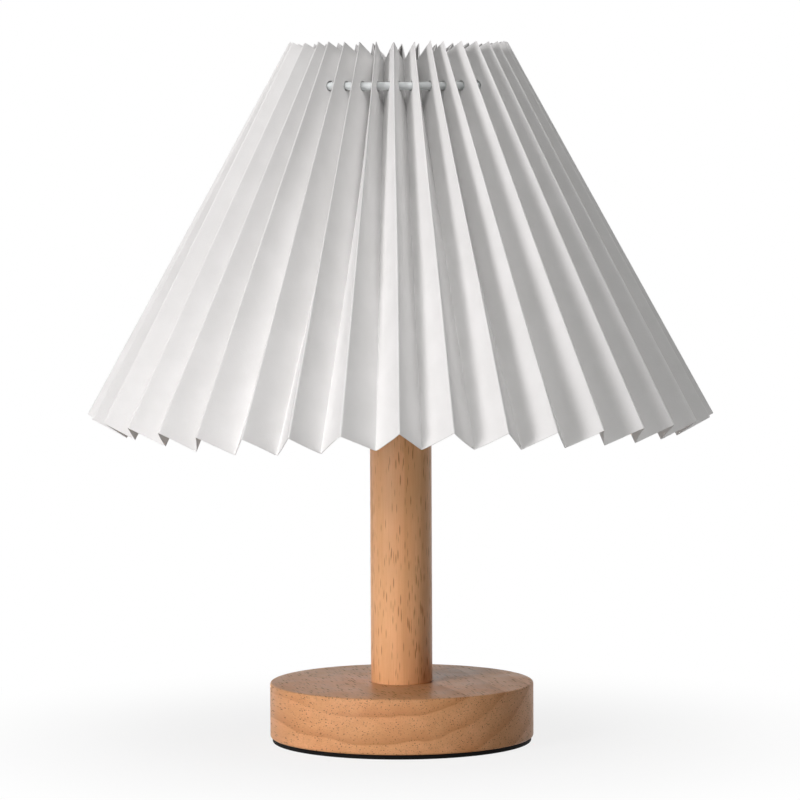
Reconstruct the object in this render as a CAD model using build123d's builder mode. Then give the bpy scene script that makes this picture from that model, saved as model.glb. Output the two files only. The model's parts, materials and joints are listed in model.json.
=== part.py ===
from build123d import *
from math import atan2, cos, degrees, radians, sin, sqrt
import os

# A table lamp with a pleated paper shade on a turned wooden stand. Millimetres, +Z up, with the
# origin on the table under the centre of the base. The front faces -Y and the flex leaves at +Y.

# ---- Driving dimensions ----

# Wooden stand
pad_thickness = 2.0
pad_inset = 1.0
base_diameter = 120.0
base_thickness = 25.0
base_edge = 0.8
recess_diameter = 50.0
recess_depth = 13.0
post_diameter = 28.0
post_top = 150.0
post_edge = 0.4
tenon_diameter = 20.0
tenon_length = 8.0
tenon_end_gap = 0.5

# Flex inlet at the back of the base
inlet_height = 11.0
inlet_bore = 6.6
channel_diameter = 8.0
gland_diameter = 11.0
gland_length = 14.0
gland_flange_diameter = 14.0
gland_flange_thickness = 1.6
gland_seat_depth = 0.8
gland_edge = 0.5

# Central rod and its fastenings
rod_diameter = 10.0
rod_bore = 6.5
rod_bottom_gap = 3.0
rod_stand_up = 11.5
nut_across_flats = 14.0
nut_corner_diameter = 15.1
nut_thickness = 4.0
locknut_thickness = 3.0
base_washer_diameter = 32.0
base_washer_thickness = 1.5
post_washer_diameter = 26.0
post_washer_thickness = 1.2

# Lamp holder
holder_diameter = 40.0
holder_wall = 2.0
neck_diameter = 19.0
neck_height = 5.0
cap_flare_height = 7.0
cap_height = 24.0
cap_floor = 6.5
insert_ledge_height = 14.0
insert_ledge_width = 1.5
insert_height = 8.0
insert_boss_diameter = 16.0
insert_boss_height = 3.0
terminal_spacing = 22.0
terminal_screw_diameter = 3.0
terminal_head_diameter = 5.5
terminal_head_height = 2.0
terminal_end_gap = 1.0
sleeve_skirt_height = 12.0
shoulder_diameter = 47.0
shoulder_thickness = 2.5
collar_diameter = 39.4
collar_height = 15.5
lip_diameter = 29.2
lip_thickness = 2.0
spigot_length = 1.7
shell_bore = 26.6
shell_sheet = 0.4
shell_height = 24.0
shell_foot_width = 2.8
contact_strip_width = 6.0
contact_strip_length = 13.0
contact_sheet = 0.5
contact_rise = 3.4

# Wire carrier that the shade sits on
hub_bore = 40.4
hub_diameter = 50.0
hub_thickness = 1.2
carrier_wire = 3.0
arm_wire = 2.6
arm_count = 3
arm_bend_radius = 6.0
arm_weld_depth = 0.6
carrier_ring_height = 270.0

# Pleated shade
pleats = 37
paper = 0.45
panel_width = 20.0
shade_bottom_diameter = 284.0
shade_top_diameter = 100.0
shade_bottom = 149.0
shade_rise = 168.0
hoop_height = 296.5
hoop_tube_diameter = 3.6
hoop_tube_bore = 2.2
hoop_end_gap = 0.5
joiner_length = 14.0
hole_diameter = 5.4
punch_reach = 2.5

# Bulb
bulb_diameter = 60.0
bulb_wall = 1.2
bulb_body_height = 31.0
bulb_mouth_diameter = 56.0
bulb_neck_diameter = 28.0
bulb_collar_height = 5.2
screw_cap_diameter = 26.0
screw_cap_height = 19.0
screw_cap_sheet = 0.3
insulator_height = 5.0
insulator_tip_diameter = 9.0
bulb_contact_height = 1.5
bulb_contact_diameter = 8.0
bulb_contact_edge = 0.7
led_board_diameter = 46.0
led_board_thickness = 1.6

# Thin rods, tubes and punched holes have this many sides
round_sides = 8

# Clearances
clearance = 0.3
slip = 0.1
joiner_slip = 0.05

# ---- Levels and radii that follow from them ----

base_bottom = pad_thickness
base_top = base_bottom + base_thickness
base_radius = base_diameter / 2
recess_top = base_bottom + recess_depth
gland_seat = base_radius - gland_seat_depth
holder_seat = post_top + post_washer_thickness
holder_radius = holder_diameter / 2
cap_inner_radius = holder_radius - holder_wall
ledge_level = holder_seat + insert_ledge_height
insert_top = ledge_level + insert_height
cap_rim = holder_seat + cap_height
shoulder_level = cap_rim + sleeve_skirt_height + shoulder_thickness
sleeve_top = shoulder_level + collar_height
contact_top = insert_top + insert_boss_height + contact_rise
hub_top = shoulder_level + hub_thickness
bulb_bottom = contact_top + clearance
screw_cap_bottom = bulb_bottom + bulb_contact_height + insulator_height
bulb_body_bottom = screw_cap_bottom + screw_cap_height
bulb_body_top = bulb_body_bottom + bulb_body_height

half_pleat = radians(180 / pleats)
outer_bottom_radius = shade_bottom_diameter / 2
outer_top_radius = shade_top_diameter / 2
shade_top = shade_bottom + shade_rise
fold_slope = (outer_bottom_radius - outer_top_radius) / shade_rise

os.makedirs("parts", exist_ok=True)


def inner_fold_end(outer_radius, outer_level):
    """Radius and level of the inner fold's end beside an outer fold's end.

    A panel is panel_width wide and its end is cut square to the folds, so the inner fold's
    end lies lower than the outer one's as well as nearer to the axis.
    """
    lean = 1 + fold_slope**2
    square = lean * cos(half_pleat) ** 2 + sin(half_pleat) ** 2
    middle = lean * outer_radius * cos(half_pleat)
    spread = middle**2 - square * (lean * outer_radius**2 - panel_width**2)
    radius = (middle - sqrt(spread)) / square
    return radius, outer_level - (outer_radius - radius * cos(half_pleat)) * fold_slope


inner_bottom_radius, inner_bottom_level = inner_fold_end(outer_bottom_radius, shade_bottom)
inner_top_radius, inner_top_level = inner_fold_end(outer_top_radius, shade_top)


def outer_fold_radius(level):
    """Distance of the outer folds from the axis at a level."""
    return outer_top_radius + (shade_top - level) * fold_slope


def inner_fold_radius(level):
    """Distance of the inner folds from the axis at a level."""
    slope = (inner_bottom_radius - inner_top_radius) / (inner_top_level - inner_bottom_level)
    return inner_top_radius + (inner_top_level - level) * slope


def fold_thickness(level):
    """How far the paper's faces stand from its middle at an outer and at an inner fold."""
    inner = inner_fold_radius(level)
    across = inner * sin(half_pleat)
    half_angle = atan2(across, outer_fold_radius(level) - inner * cos(half_pleat))
    return paper / 2 / sin(half_angle), paper / 2 / sin(half_angle + half_pleat)


def pleat_corners(level, side):
    """Corners of the zigzag that the paper's outside (1) or inside (-1) makes at a level.

    One outer fold faces the front.
    """
    outer_half, inner_half = fold_thickness(level)
    outer = outer_fold_radius(level) + side * outer_half
    inner = inner_fold_radius(level) + side * inner_half
    corners = []
    for fold in range(pleats):
        turn = 2 * half_pleat * fold - radians(90)
        corners.append((outer * cos(turn), outer * sin(turn)))
        corners.append((inner * cos(turn + half_pleat), inner * sin(turn + half_pleat)))
    return corners


# ---- Wooden stand ----

with BuildPart() as base_pad:
    with BuildSketch():
        Circle(base_radius - pad_inset)
    extrude(amount=pad_thickness)
base_pad.part.label = "base_pad"
export_step(base_pad.part, "parts/base_pad.step")

with BuildPart() as base_disc:
    with BuildSketch(Plane.XY.offset(base_bottom)):
        Circle(base_radius)
    extrude(amount=base_thickness)
    chamfer(base_disc.edges().filter_by(GeomType.CIRCLE), base_edge)
    with BuildSketch(Plane.XY.offset(base_bottom)):
        Circle(recess_diameter / 2)
    extrude(amount=recess_depth, mode=Mode.SUBTRACT)
    with Locations((0, 0, base_top)):
        Hole(tenon_diameter / 2 + slip, depth=tenon_length)
        Hole(rod_diameter / 2 + slip)
    with BuildSketch(Plane.XZ.offset(-base_radius)):
        with Locations((0, inlet_height)):
            Circle(gland_flange_diameter / 2 + slip)
    extrude(amount=gland_seat_depth, mode=Mode.SUBTRACT)
    with BuildSketch(Plane.XZ.offset(-gland_seat)):
        with Locations((0, inlet_height)):
            Circle(gland_diameter / 2 + slip)
    extrude(amount=gland_length, mode=Mode.SUBTRACT)
    with BuildSketch(Plane.XZ.offset(-gland_seat)):
        with Locations((0, inlet_height)):
            Circle(channel_diameter / 2)
    extrude(amount=gland_seat, mode=Mode.SUBTRACT)
base_disc.part.label = "base_disc"
export_step(base_disc.part, "parts/base_disc.step")

with BuildPart() as cord_gland:
    with BuildSketch(Plane.XZ.offset(-gland_seat)):
        with Locations((0, inlet_height)):
            Circle(gland_diameter / 2)
    extrude(amount=gland_length)
    with BuildSketch(Plane.XZ.offset(-gland_seat)):
        with Locations((0, inlet_height)):
            Circle(gland_flange_diameter / 2)
    extrude(amount=-gland_flange_thickness)
    chamfer(cord_gland.edges().group_by(Axis.Y)[-1], gland_edge)
    with BuildSketch(Plane.XZ.offset(-gland_seat - gland_flange_thickness)):
        with Locations((0, inlet_height)):
            Circle(inlet_bore / 2)
    extrude(amount=gland_length + gland_flange_thickness, mode=Mode.SUBTRACT)
cord_gland.part.label = "cord_gland"
export_step(cord_gland.part, "parts/cord_gland.step")

with BuildPart() as post:
    with BuildSketch(Plane.XY.offset(base_top)):
        Circle(post_diameter / 2)
    extrude(amount=post_top - base_top)
    chamfer(post.edges().filter_by(GeomType.CIRCLE), post_edge)
    with BuildSketch(Plane.XY.offset(base_top)):
        Circle(tenon_diameter / 2)
    extrude(amount=tenon_end_gap - tenon_length)
    with Locations((0, 0, post_top)):
        Hole(rod_diameter / 2 + slip)
post.part.label = "post"
export_step(post.part, "parts/post.step")

# ---- Central rod and its fastenings ----

with BuildPart() as threaded_rod:
    with BuildSketch(Plane.XY.offset(base_bottom + rod_bottom_gap)):
        Circle(rod_diameter / 2)
        Circle(rod_bore / 2, mode=Mode.SUBTRACT)
    extrude(amount=holder_seat + rod_stand_up - base_bottom - rod_bottom_gap)
threaded_rod.part.label = "threaded_rod"
export_step(threaded_rod.part, "parts/threaded_rod.step")

with BuildPart() as base_washer:
    with BuildSketch(Plane.XY.offset(recess_top - base_washer_thickness)):
        Circle(base_washer_diameter / 2)
        Circle(rod_diameter / 2 + slip, mode=Mode.SUBTRACT)
    extrude(amount=base_washer_thickness)
base_washer.part.label = "base_washer"
export_step(base_washer.part, "parts/base_washer.step")


def hex_nut(bottom, thickness):
    """A nut on the rod with its corners turned off at the top and bottom."""
    with BuildPart() as nut:
        with BuildSketch(Plane.XY.offset(bottom)):
            RegularPolygon(nut_across_flats / 2, 6, major_radius=False)
        extrude(amount=thickness)
        with BuildSketch(Plane.XY.offset(bottom)):
            Circle(nut_corner_diameter / 2)
        extrude(amount=thickness, mode=Mode.INTERSECT)
        with Locations((0, 0, bottom + thickness)):
            Hole(rod_diameter / 2 + joiner_slip)
    return nut.part


rod_nut = hex_nut(recess_top - base_washer_thickness - nut_thickness, nut_thickness)
rod_nut.label = "rod_nut"
export_step(rod_nut, "parts/rod_nut.step")

holder_locknut = hex_nut(holder_seat + cap_floor, locknut_thickness)
holder_locknut.label = "holder_locknut"
export_step(holder_locknut, "parts/holder_locknut.step")

with BuildPart() as post_washer:
    with BuildSketch(Plane.XY.offset(post_top)):
        Circle(post_washer_diameter / 2)
        Circle(rod_diameter / 2 + slip, mode=Mode.SUBTRACT)
    extrude(amount=post_washer_thickness)
post_washer.part.label = "post_washer"
export_step(post_washer.part, "parts/post_washer.step")

# ---- Lamp holder ----

neck_radius = neck_diameter / 2
flare_top = holder_seat + neck_height + cap_flare_height
nut_room = nut_corner_diameter / 2 + 2 * clearance

with BuildPart() as holder_cap:
    with BuildSketch(Plane.XZ):
        with BuildLine():
            Polyline(
                (0, holder_seat),
                (neck_radius, holder_seat),
                (neck_radius, holder_seat + neck_height),
                (holder_radius, flare_top),
                (holder_radius, cap_rim),
                (cap_inner_radius, cap_rim),
                (cap_inner_radius, ledge_level),
                (cap_inner_radius - insert_ledge_width, ledge_level),
                (cap_inner_radius - insert_ledge_width, flare_top),
                (nut_room, holder_seat + cap_floor),
                (0, holder_seat + cap_floor),
                close=True,
            )
        make_face()
    revolve(axis=Axis.Z)
    with Locations((0, 0, holder_seat + cap_floor)):
        Hole(rod_diameter / 2 + slip)
holder_cap.part.label = "holder_cap"
export_step(holder_cap.part, "parts/holder_cap.step")

with BuildPart() as holder_insert:
    with BuildSketch(Plane.XY.offset(ledge_level)):
        Circle(cap_inner_radius - clearance)
    extrude(amount=insert_height)
    with BuildSketch(Plane.XY.offset(insert_top)):
        Circle(insert_boss_diameter / 2)
    extrude(amount=insert_boss_height)
    with BuildSketch(Plane.XY.offset(ledge_level)):
        with Locations((-terminal_spacing / 2, 0), (terminal_spacing / 2, 0)):
            Circle(terminal_screw_diameter / 2 + slip)
    extrude(amount=insert_height, mode=Mode.SUBTRACT)
holder_insert.part.label = "holder_insert"
export_step(holder_insert.part, "parts/holder_insert.step")

with BuildPart() as terminal_screws:
    with BuildSketch(Plane.XY.offset(ledge_level - terminal_head_height)):
        with Locations((-terminal_spacing / 2, 0), (terminal_spacing / 2, 0)):
            Circle(terminal_head_diameter / 2)
    extrude(amount=terminal_head_height)
    with BuildSketch(Plane.XY.offset(ledge_level)):
        with Locations((-terminal_spacing / 2, 0), (terminal_spacing / 2, 0)):
            Circle(terminal_screw_diameter / 2)
    extrude(amount=insert_height - terminal_end_gap)
terminal_screws.part.label = "terminal_screws"
export_step(terminal_screws.part, "parts/terminal_screws.step")

boss_top = insert_top + insert_boss_height

with BuildPart() as centre_contact:
    with BuildSketch(Plane.XZ.offset(-contact_strip_width / 2)):
        with BuildLine():
            Polyline(
                (-contact_strip_length / 2, boss_top),
                (0, boss_top),
                (contact_strip_length / 2, contact_top - contact_sheet),
                (contact_strip_length / 2, contact_top),
                (0, boss_top + contact_sheet),
                (-contact_strip_length / 2, boss_top + contact_sheet),
                close=True,
            )
        make_face()
    extrude(amount=contact_strip_width)
centre_contact.part.label = "centre_contact"
export_step(centre_contact.part, "parts/centre_contact.step")

with BuildPart() as screw_shell:
    with BuildSketch(Plane.XY.offset(insert_top)):
        Circle(shell_bore / 2 + shell_foot_width)
    extrude(amount=shell_sheet)
    with BuildSketch(Plane.XY.offset(insert_top)):
        Circle(shell_bore / 2 + shell_sheet)
    extrude(amount=shell_height)
    with Locations((0, 0, insert_top + shell_height)):
        Hole(shell_bore / 2)
screw_shell.part.label = "screw_shell"
export_step(screw_shell.part, "parts/screw_shell.step")

with BuildPart() as holder_sleeve:
    with BuildSketch(Plane.XZ):
        with BuildLine():
            Polyline(
                (cap_inner_radius - insert_ledge_width, cap_rim - spigot_length),
                (cap_inner_radius - slip, cap_rim - spigot_length),
                (cap_inner_radius - slip, cap_rim),
                (holder_radius, cap_rim),
                (holder_radius, shoulder_level - shoulder_thickness),
                (shoulder_diameter / 2, shoulder_level - shoulder_thickness),
                (shoulder_diameter / 2, shoulder_level),
                (collar_diameter / 2, shoulder_level),
                (collar_diameter / 2, sleeve_top),
                (lip_diameter / 2, sleeve_top),
                (lip_diameter / 2, sleeve_top - lip_thickness),
                (cap_inner_radius - insert_ledge_width, sleeve_top - lip_thickness),
                close=True,
            )
        make_face()
    revolve(axis=Axis.Z)
holder_sleeve.part.label = "holder_sleeve"
export_step(holder_sleeve.part, "parts/holder_sleeve.step")

# ---- Wire carrier ----

wire_radius = carrier_wire / 2
ring_contact_radius = inner_fold_radius(carrier_ring_height) - fold_thickness(carrier_ring_height)[1]
ring_radius = ring_contact_radius - (wire_radius + clearance) * sqrt(1 + fold_slope**2)

with BuildPart() as carrier_hub:
    with BuildSketch(Plane.XY.offset(shoulder_level)):
        Circle(hub_diameter / 2)
        Circle(hub_bore / 2, mode=Mode.SUBTRACT)
    extrude(amount=hub_thickness)
carrier_hub.part.label = "carrier_hub"
export_step(carrier_hub.part, "parts/carrier_hub.step")

with BuildPart() as carrier_ring:
    with BuildSketch(Plane.XZ):
        with Locations((ring_radius, carrier_ring_height)):
            RegularPolygon(wire_radius, round_sides)
    revolve(axis=Axis.Z)
carrier_ring.part.label = "carrier_ring"
export_step(carrier_ring.part, "parts/carrier_ring.step")

arm_start = hub_bore / 2 + arm_weld_depth
arm_level = hub_top + arm_wire / 2
arm_end_level = carrier_ring_height - wire_radius

with BuildPart() as carrier_arms:
    for arm in range(arm_count):
        spoke = Plane.XZ.rotated((0, 0, 90 + 360 / arm_count * arm))
        with BuildLine(spoke) as arm_path:
            FilletPolyline(
                (arm_start, arm_level),
                (hub_diameter / 2 + arm_bend_radius, arm_level),
                (ring_radius, arm_end_level),
                radius=arm_bend_radius,
            )
        with BuildSketch(Plane(arm_path.line @ 0, z_dir=arm_path.line % 0)):
            RegularPolygon(arm_wire / 2, round_sides)
        sweep(path=arm_path.line)
carrier_arms.part.label = "carrier_arms"
export_step(carrier_arms.part, "parts/carrier_arms.step")

# ---- Pleated shade ----

far_radius = outer_bottom_radius + panel_width
bottom_cut = (shade_bottom - inner_bottom_level) / (outer_bottom_radius - inner_bottom_radius)
top_cut = (shade_top - inner_top_level) / (outer_top_radius - inner_top_radius)
hoop_radius = (outer_fold_radius(hoop_height) + inner_fold_radius(hoop_height)) / 2
hoop_tube_radius = hoop_tube_diameter / 2
hole_radius = hole_diameter / 2
hole_level = hoop_height + hoop_tube_radius + clearance - hole_radius

# The panels twist as the pleats open, so the paper is ruled through several levels, and one
# narrow band of them holds the holes punched for the hoop, with eight sides each.
low_level = inner_bottom_level - panel_width / 2
high_level = shade_top + panel_width / 2
band_bottom = hole_level - hole_diameter
band_top = hole_level + hole_diameter
open_level = (low_level + band_bottom) / 2
paper_levels = (low_level, open_level, band_bottom, band_top, high_level)

with BuildPart() as pleated_shade:
    for side, mode in ((1, Mode.ADD), (-1, Mode.SUBTRACT)):
        for level in paper_levels:
            with BuildSketch(Plane.XY.offset(level)):
                with BuildLine():
                    Polyline(*pleat_corners(level, side), close=True)
                make_face()
        loft(ruled=True, mode=mode)
    with BuildSketch(Plane.XZ):
        with BuildLine():
            Polyline(
                (0, shade_bottom - outer_bottom_radius * bottom_cut),
                (far_radius, shade_bottom + (far_radius - outer_bottom_radius) * bottom_cut),
                (far_radius, shade_top + (far_radius - outer_top_radius) * top_cut),
                (0, shade_top - outer_top_radius * top_cut),
                close=True,
            )
        make_face()
    revolve(axis=Axis.Z, mode=Mode.INTERSECT)
    with BuildSketch(Plane.XZ):
        with Locations((hoop_radius, hole_level)):
            RegularPolygon(hole_radius, round_sides, major_radius=False)
    punch = extrude(amount=punch_reach, both=True, mode=Mode.PRIVATE)
    with PolarLocations(0, 2 * pleats, start_angle=90 / pleats - 90):
        add(punch, mode=Mode.SUBTRACT)
pleated_shade.part.label = "pleated_shade"
export_step(pleated_shade.part, "parts/pleated_shade.step")

hoop_gap_angle = degrees(hoop_end_gap / hoop_radius)
joiner_angle = degrees(joiner_length / hoop_radius)

with BuildPart() as hoop:
    with BuildSketch(Plane.XZ.rotated((0, 0, 90 + hoop_gap_angle / 2))):
        with Locations((hoop_radius, hoop_height)):
            RegularPolygon(hoop_tube_radius, round_sides)
            RegularPolygon(hoop_tube_bore / 2, round_sides, mode=Mode.SUBTRACT)
    revolve(axis=Axis.Z, revolution_arc=360 - hoop_gap_angle)
hoop.part.label = "hoop"
export_step(hoop.part, "parts/hoop.step")

with BuildPart() as hoop_joiner:
    with BuildSketch(Plane.XZ.rotated((0, 0, 90 - joiner_angle / 2))):
        with Locations((hoop_radius, hoop_height)):
            RegularPolygon(hoop_tube_bore / 2 - joiner_slip, round_sides)
    revolve(axis=Axis.Z, revolution_arc=joiner_angle)
hoop_joiner.part.label = "hoop_joiner"
export_step(hoop_joiner.part, "parts/hoop_joiner.step")

# ---- Bulb ----

bulb_radius = bulb_diameter / 2
mouth_radius = bulb_mouth_diameter / 2
globe_centre = bulb_body_top + sqrt(bulb_radius**2 - mouth_radius**2)

with BuildPart() as bulb_globe:
    with Locations((0, 0, globe_centre)):
        Sphere(bulb_radius)
        Sphere(bulb_radius - bulb_wall, mode=Mode.SUBTRACT)
    split(bisect_by=Plane.XY.offset(bulb_body_top), keep=Keep.TOP)
bulb_globe.part.label = "bulb_globe"
export_step(bulb_globe.part, "parts/bulb_globe.step")

with BuildPart() as bulb_body:
    with BuildSketch(Plane.XZ):
        with BuildLine():
            flank = Spline(
                (bulb_neck_diameter / 2, bulb_body_bottom + bulb_collar_height),
                (mouth_radius, bulb_body_top),
                tangents=((0, 1), (mouth_radius - bulb_neck_diameter / 2, bulb_body_height)),
            )
            Polyline(
                flank @ 1,
                (0, bulb_body_top),
                (0, bulb_body_bottom),
                (bulb_neck_diameter / 2, bulb_body_bottom),
                flank @ 0,
            )
        make_face()
    revolve(axis=Axis.Z)
bulb_body.part.label = "bulb_body"
export_step(bulb_body.part, "parts/bulb_body.step")

with BuildPart() as led_board:
    with BuildSketch(Plane.XY.offset(bulb_body_top)):
        Circle(led_board_diameter / 2)
    extrude(amount=led_board_thickness)
led_board.part.label = "led_board"
export_step(led_board.part, "parts/led_board.step")

with BuildPart() as bulb_screw_cap:
    with BuildSketch(Plane.XY.offset(screw_cap_bottom)):
        Circle(screw_cap_diameter / 2)
    extrude(amount=screw_cap_height)
    with BuildSketch(Plane.XY.offset(screw_cap_bottom)):
        Circle(screw_cap_diameter / 2 - screw_cap_sheet)
    extrude(amount=screw_cap_height - screw_cap_sheet, mode=Mode.SUBTRACT)
bulb_screw_cap.part.label = "bulb_screw_cap"
export_step(bulb_screw_cap.part, "parts/bulb_screw_cap.step")

with BuildPart() as bulb_insulator:
    with BuildSketch(Plane.XY.offset(screw_cap_bottom)):
        Circle(screw_cap_diameter / 2 - screw_cap_sheet)
    with BuildSketch(Plane.XY.offset(screw_cap_bottom - insulator_height)):
        Circle(insulator_tip_diameter / 2)
    loft()
bulb_insulator.part.label = "bulb_insulator"
export_step(bulb_insulator.part, "parts/bulb_insulator.step")

with BuildPart() as bulb_contact:
    with BuildSketch(Plane.XY.offset(bulb_bottom)):
        Circle(bulb_contact_diameter / 2)
    extrude(amount=bulb_contact_height)
    chamfer(bulb_contact.edges().group_by(Axis.Z)[0], bulb_contact_edge)
bulb_contact.part.label = "bulb_contact"
export_step(bulb_contact.part, "parts/bulb_contact.step")
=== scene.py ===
import json
import math
import random

import bmesh
import bpy
from mathutils import Matrix, Vector


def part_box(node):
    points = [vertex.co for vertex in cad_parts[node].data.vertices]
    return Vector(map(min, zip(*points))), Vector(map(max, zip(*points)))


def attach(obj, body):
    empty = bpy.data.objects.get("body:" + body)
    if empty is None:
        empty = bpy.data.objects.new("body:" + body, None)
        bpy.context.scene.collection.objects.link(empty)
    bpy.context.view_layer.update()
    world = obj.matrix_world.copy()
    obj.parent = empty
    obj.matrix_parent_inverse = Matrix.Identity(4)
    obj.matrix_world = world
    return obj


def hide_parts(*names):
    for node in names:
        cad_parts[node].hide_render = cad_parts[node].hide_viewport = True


# The looks of a table lamp: a pleated paper shade on a wire carrier, over a turned wooden stand.
# Metres, +Z up, with the origin on the table under the centre of the base. The front faces -Y.

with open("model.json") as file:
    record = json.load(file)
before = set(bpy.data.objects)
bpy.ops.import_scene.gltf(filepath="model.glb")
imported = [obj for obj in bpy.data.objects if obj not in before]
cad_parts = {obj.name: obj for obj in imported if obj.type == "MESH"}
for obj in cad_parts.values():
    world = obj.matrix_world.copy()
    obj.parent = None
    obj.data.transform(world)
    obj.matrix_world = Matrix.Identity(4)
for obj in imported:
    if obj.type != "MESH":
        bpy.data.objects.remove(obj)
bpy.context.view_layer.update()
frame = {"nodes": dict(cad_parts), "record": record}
nodes = frame["nodes"]
mm = 0.001

# ---- Sizes that the frame's boxes don't give ----

panel_width = 20 * mm
fold_length = 191.6 * mm
paper_thickness = 0.32 * mm
crease_reach = 0.8 * mm
outer_foot_radius = 142 * mm
outer_tip_radius = 50 * mm
outer_foot_level = 150 * mm
outer_tip_level = 317.7 * mm
hole_radius = 2.4 * mm
hole_cell = 2.3 * mm
hole_grid = 4
hoop_tube_radius = 1.8 * mm
hoop_bore_radius = 1.1 * mm
hoop_lift = 1.2 * mm
carrier_wire_radius = 1.5 * mm
arm_wire_radius = 1.3 * mm
rod_hole_radius = 5.1 * mm
thread_pitch = 3.629 * mm

# Degrees from the front at which the folds that face the front end, at the rim and at the top.
# The paper is sprung into place by hand, so they aren't evenly spread.
front_feet = (
    -87, -76, -68, -57.3, -47.7, -38.4, -28.6, -19.7, -10.4,
    -0.2, 9.2, 18.9, 28.3, 38, 48, 57.6, 67.4, 77.4, 87,
)
front_tips = (
    -94, -83, -74, -58, -46.6, -39, -29.2, -20.6, -11.7,
    -2.7, 8, 16.4, 23.3, 33.8, 44.4, 54.4, 62.4, 72, 81,
)
# The folds at the back whose tips show through the notches in front.
back_tips = (169.2, 178.3, 194.1, 203.5, 214.4)
# How far the inner folds between the front ones stray from halfway, in degrees, at each end.
inner_feet_stray = (
    -2, -2.4, -3, -1.4, -0.8, -0.4, -0.3, -0.2, 0.2,
    -0.1, 0, 0.3, 0.2, 0.9, 0.6, 1.2, 1.4, 0.5,
)
inner_tips_stray = (
    0, 0, 0, -2, -1, -1, -0.5, 0, -4.5,
    1, 1, 0, 0.5, 0.5, 0.5, 1, 1, 0,
)
pleats = 37


# ---- Mesh helpers ----


def new_object(name, shape):
    """An object in the scene from (vertices, faces), with its faces turned outwards."""
    vertices, faces = shape
    mesh = bpy.data.meshes.new(name)
    mesh.from_pydata([tuple(vertex) for vertex in vertices], [], faces)
    outwards = bmesh.new()
    outwards.from_mesh(mesh)
    bmesh.ops.recalc_face_normals(outwards, faces=outwards.faces)
    outwards.to_mesh(mesh)
    outwards.free()
    made = bpy.data.objects.new(name, mesh)
    bpy.context.scene.collection.objects.link(made)
    return made


def add_piece(name, shape, body, slot, replaces=(), sharp_degrees=35):
    """A piece from (vertices, faces) that rides on a body and stands for nodes.

    It is smooth-shaded up to an angle and has the finish of its slot.
    """
    piece = new_object(name, shape)
    mesh = piece.data
    mesh.shade_smooth()
    mesh.set_sharp_from_angle(angle=math.radians(sharp_degrees))
    mesh.materials.append(finishes[slot])
    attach(piece, body)
    if replaces:
        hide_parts(*replaces)
    return piece


def round_corners(corners, steps=4):
    """Points of a closed profile given as (radius, height, rounding) corners."""
    points = []
    for index, (radius, height, rounding) in enumerate(corners):
        corner = Vector((radius, height))
        if rounding == 0:
            points.append(corner)
            continue
        before = Vector(corners[index - 1][:2]) - corner
        after = Vector(corners[(index + 1) % len(corners)][:2]) - corner
        reach = min(rounding, before.length / 2, after.length / 2)
        start = corner + before.normalized() * reach
        end = corner + after.normalized() * reach
        for step in range(steps + 1):
            t = step / steps
            points.append(start * (1 - t) ** 2 + corner * (2 * t * (1 - t)) + end * t**2)
    return points


def band(row, following, closed=True):
    """Faces between two rows of vertex numbers that are equally long."""
    count = len(row)
    return [
        (row[here], row[(here + 1) % count], following[(here + 1) % count], following[here])
        for here in range(count if closed else count - 1)
    ]


def turned(profile, segments=96):
    """A closed profile of (radius, height) points turned round the Z axis."""
    vertices, faces, rings = [], [], []
    for radius, height in profile:
        first = len(vertices)
        if radius < 1e-7:
            vertices.append((0, 0, height))
            rings.append([first])
            continue
        for segment in range(segments):
            turn = 2 * math.pi * segment / segments
            vertices.append((radius * math.cos(turn), radius * math.sin(turn), height))
        rings.append(list(range(first, first + segments)))
    for ring, following in zip(rings, rings[1:] + rings[:1]):
        if len(ring) == len(following) == 1:
            continue
        for segment in range(segments):
            beside = segment + 1
            corners = (
                ring[segment % len(ring)],
                ring[beside % len(ring)],
                following[beside % len(following)],
                following[segment % len(following)],
            )
            faces.append(tuple(dict.fromkeys(corners)))
    return vertices, faces


def swept(path, radii, side, closed=False, sides=14):
    """Round rings along a path that lies in the plane square to side, one loop per radius."""
    vertices, faces = [], []
    count = len(path)
    for index, point in enumerate(path):
        before = path[index - 1] if index or closed else point
        after = path[(index + 1) % count] if index < count - 1 or closed else point
        across = (after - before).normalized().cross(side)
        for radius in radii:
            for step in range(sides):
                turn = 2 * math.pi * step / sides
                offset = across * math.cos(turn) + side * math.sin(turn)
                vertices.append(point + offset * radius)
    loops = len(radii)
    rings = [range(first, first + sides) for first in range(0, len(vertices), sides)]
    for index in range(count if closed else count - 1):
        after = (index + 1) % count
        for loop in range(loops):
            faces += band(rings[index * loops + loop], rings[after * loops + loop])
    if not closed:
        for end in (rings[:loops], rings[-loops:]):
            faces += [tuple(end[0])] if loops == 1 else band(*end)
    return vertices, faces


def evenly_between(low, high, count):
    """Evenly spaced values between two ends, which are left out."""
    return [low + (high - low) * step / (count + 1) for step in range(1, count + 1)]


def joined(*shapes):
    """Several (vertices, faces) shapes as one."""
    vertices, faces = [], []
    for more_vertices, more_faces in shapes:
        first = len(vertices)
        vertices += list(more_vertices)
        faces += [tuple(first + index for index in face) for face in more_faces]
    return vertices, faces


def arc(radius, level, start, sweep, steps):
    """Points round the axis at a level, from one angle over a sweep."""
    turns = [start + sweep * step / steps for step in range(steps + 1)]
    return [Vector((radius * math.cos(turn), radius * math.sin(turn), level)) for turn in turns]


def laid_back(shape, level):
    """A shape turned round Z, laid over so that its axis runs to the back (+Y) at a level."""
    vertices, faces = shape
    return [(x, z, level + y) for x, y, z in vertices], faces


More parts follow.
